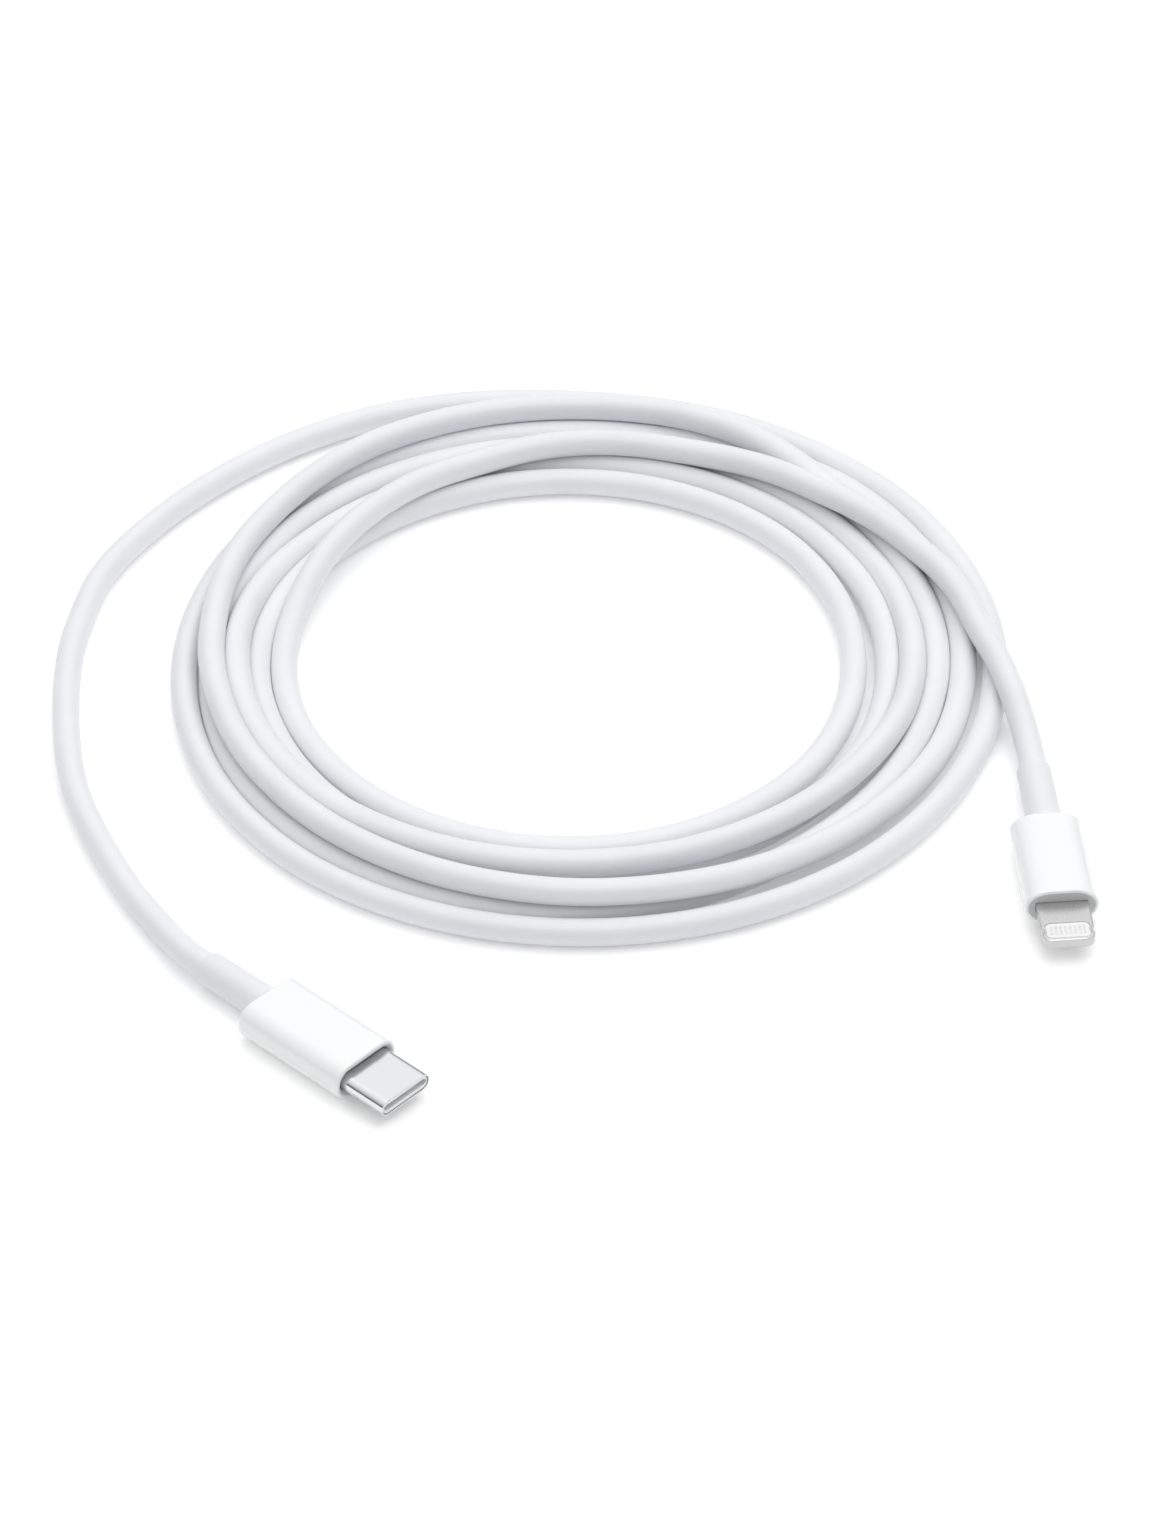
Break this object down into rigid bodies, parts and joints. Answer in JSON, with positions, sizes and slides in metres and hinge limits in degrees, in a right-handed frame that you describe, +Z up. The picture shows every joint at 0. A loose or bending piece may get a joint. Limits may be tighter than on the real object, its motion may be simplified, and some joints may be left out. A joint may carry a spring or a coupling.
{
  "type": "charging cable",
  "caption": "White charging cable with a reversible type-C plug at one end and a slim tab plug at the other, its cord lying in a loose flat coil.",
  "frame": {"origin": "middle of the two plugs' shared footprint, on the surface that the cable lies on", "axes": "+X from the type-C plug towards the tab plug, +Y towards the coil, +Z up"},
  "size_m": [0.1326, 0.1433, 0.0075],
  "materials": {
    "jacket": "smooth satin white thermoplastic elastomer",
    "relief": "satin white elastomer, a shade brighter than the cord",
    "housing": "clean semi-gloss white",
    "mould": "matt grey inner moulding",
    "shell_steel": "polished satin steel with bright rolled sides",
    "tab_steel": "fine satin steel",
    "spring_steel": "spring steel",
    "can_steel": "tinned steel sheet",
    "brass": "crimped brass",
    "carrier": "light grey moulded insulator",
    "insert": "smooth white insert",
    "contact_gold": "pale plated contact",
    "board": "green solder mask",
    "chip": "black package",
    "capacitor": "ceramic body",
    "core_red": "insulated core",
    "core_black": "insulated core",
    "core_green": "insulated core",
    "core_white": "insulated core"
  },
  "bodies": {
    "cord": {"cord_loop": "jacket", "cord_coil": "jacket", "cord_lead": "jacket"},
    "type_c_plug": {"type_c_housing": "housing", "type_c_strain_relief": "relief", "type_c_inner_mould": "mould", "type_c_board": "board", "type_c_shield_upper": "can_steel", "type_c_shield_lower": "can_steel", "type_c_jacket_end": "relief", "type_c_crimp_ferrule": "brass", "type_c_core_power": "core_red", "type_c_core_data_minus": "core_white", "type_c_core_data_plus": "core_green", "type_c_core_ground": "core_black", "type_c_shell": "shell_steel", "type_c_contact_carrier": "carrier", "type_c_upper_contacts": "contact_gold", "type_c_lower_contacts": "contact_gold", "type_c_ground_spring_upper": "spring_steel", "type_c_ground_spring_lower": "spring_steel", "type_c_controller": "chip", "type_c_capacitor": "capacitor"},
    "latch_left": {"type_c_latch_left": "spring_steel"},
    "latch_right": {"type_c_latch_right": "spring_steel"},
    "tab_plug": {"tab_plug_housing": "housing", "tab_plug_strain_relief": "relief", "tab_plug_inner_mould": "mould", "tab_plug_board": "board", "tab_plug_shield_upper": "can_steel", "tab_plug_shield_lower": "can_steel", "tab_plug_jacket_end": "relief", "tab_plug_crimp_ferrule": "brass", "tab_plug_core_power": "core_red", "tab_plug_core_data_minus": "core_white", "tab_plug_core_data_plus": "core_green", "tab_plug_core_ground": "core_black", "tab_plug_frame": "tab_steel", "tab_plug_insert": "insert", "tab_plug_contact_upper_1": "contact_gold", "tab_plug_contact_lower_1": "contact_gold", "tab_plug_contact_upper_2": "contact_gold", "tab_plug_contact_lower_2": "contact_gold", "tab_plug_contact_upper_3": "contact_gold", "tab_plug_contact_lower_3": "contact_gold", "tab_plug_contact_upper_4": "contact_gold", "tab_plug_contact_lower_4": "contact_gold", "tab_plug_contact_upper_5": "contact_gold", "tab_plug_contact_lower_5": "contact_gold", "tab_plug_contact_upper_6": "contact_gold", "tab_plug_contact_lower_6": "contact_gold", "tab_plug_contact_upper_7": "contact_gold", "tab_plug_contact_lower_7": "contact_gold", "tab_plug_contact_upper_8": "contact_gold", "tab_plug_contact_lower_8": "contact_gold", "tab_plug_controller": "chip"}
  },
  "joints": [
    {"name": "type_c_flex", "type": "hinge", "parent": "cord", "child": "type_c_plug", "pos_m": [-0.05402, -0.00684, 0.0025], "axis": [0, 0, 1], "range_deg": [-30, 30], "stiffness_Nm_per_rad": 0.004},
    {"name": "tab_flex", "type": "hinge", "parent": "cord", "child": "tab_plug", "pos_m": [0.04929, 0.03076, 0.0026], "axis": [0, 0, 1], "range_deg": [-30, 30], "stiffness_Nm_per_rad": 0.004},
    {"name": "latch_left_spring", "type": "hinge", "parent": "type_c_plug", "child": "latch_left", "pos_m": [-0.03337, -0.02137, 0.0025], "axis": [0, 0, 1], "range_deg": [0, 2], "stiffness_Nm_per_rad": 0.01},
    {"name": "latch_right_spring", "type": "hinge", "parent": "type_c_plug", "child": "latch_right", "pos_m": [-0.03822, -0.02654, 0.0025], "axis": [0, 0, -1], "range_deg": [0, 2], "stiffness_Nm_per_rad": 0.01}
  ]
}
